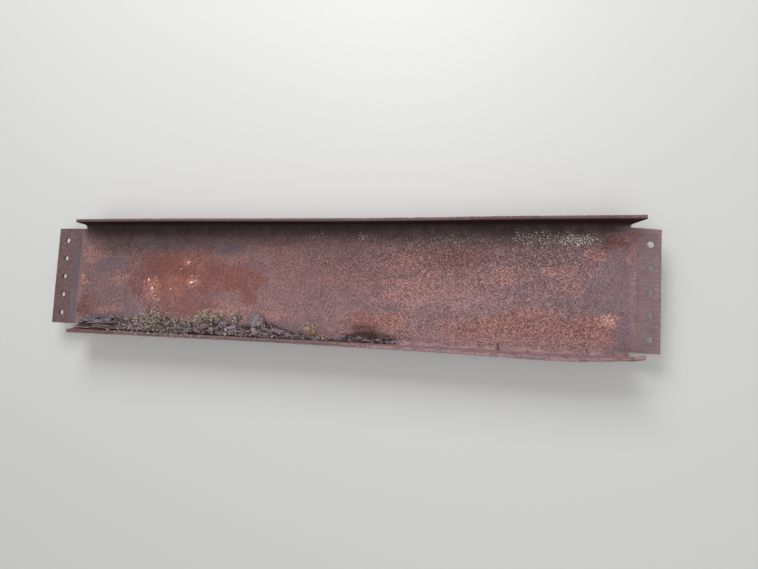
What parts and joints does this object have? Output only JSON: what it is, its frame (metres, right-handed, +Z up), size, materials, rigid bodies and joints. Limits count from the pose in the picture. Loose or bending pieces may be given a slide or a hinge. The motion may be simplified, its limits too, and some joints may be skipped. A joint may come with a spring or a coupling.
{
  "type": "steel girder",
  "caption": "Rusted rolled steel girder with cut-back flanges, a row of bolt holes in the web tab at each end, and one bent flange edge.",
  "frame": {"origin": "floor level, midway between the two bolt rows and between the two flanges; the bent flange edge and unequal tabs put it up to 7 mm from the middle of the box", "axes": "+X along the girder, from the tab with the longer edge distance to the one with the shorter; +Y across the web towards the upper flange; +Z up, square to the web"},
  "size_m": [2.3622, 0.4696, 0.1528],
  "materials": {
    "rusted_steel": "weathered rolled steel with a heavy purple-brown rust, pitted, matt"
  },
  "bodies": {
    "root": {"rolled_girder": "rusted_steel"}
  },
  "joints": []
}
